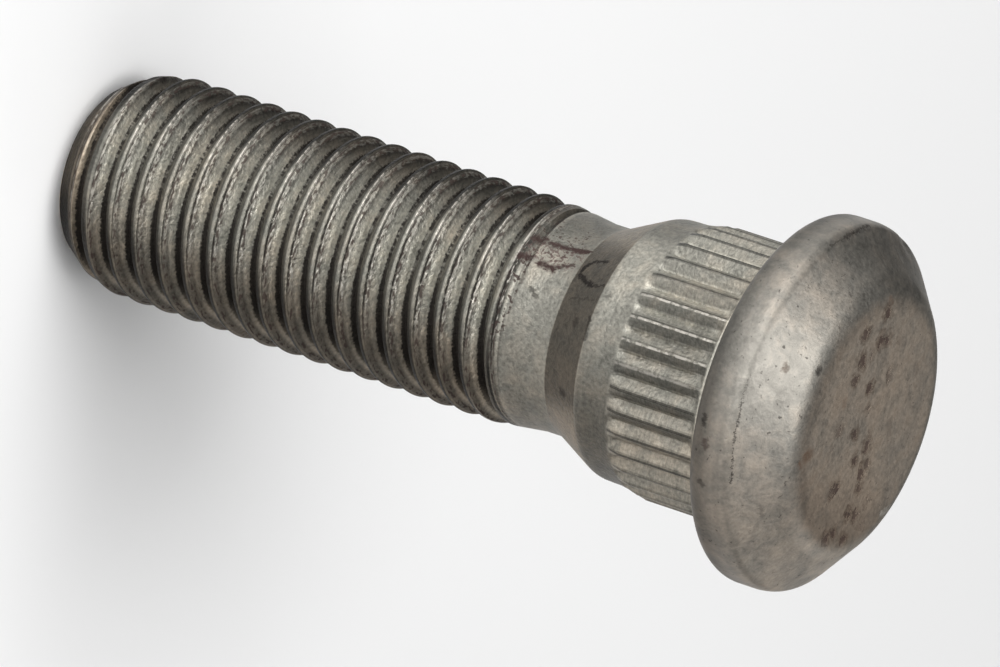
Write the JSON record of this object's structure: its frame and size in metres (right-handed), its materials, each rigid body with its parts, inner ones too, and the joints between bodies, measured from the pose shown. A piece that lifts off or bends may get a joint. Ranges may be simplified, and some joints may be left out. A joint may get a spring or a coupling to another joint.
{
  "type": "wheel stud",
  "caption": "Press-in wheel stud with a round flanged head, a ring of straight serrations, a plain tapered neck and a rolled right-hand thread with a chamfered end.",
  "frame": {"origin": "centre of the flat end of the thread, where the stud stands", "axes": "+Z along the stud's axis from the threaded end up to the head"},
  "size_m": [0.019, 0.019, 0.0451],
  "materials": {
    "phosphated_steel": "dull grey phosphate coating on forged and rolled steel, with dark thread roots, bright worn edges and rust-brown marks"
  },
  "bodies": {
    "root": {"wheel_stud": "phosphated_steel"}
  },
  "joints": []
}
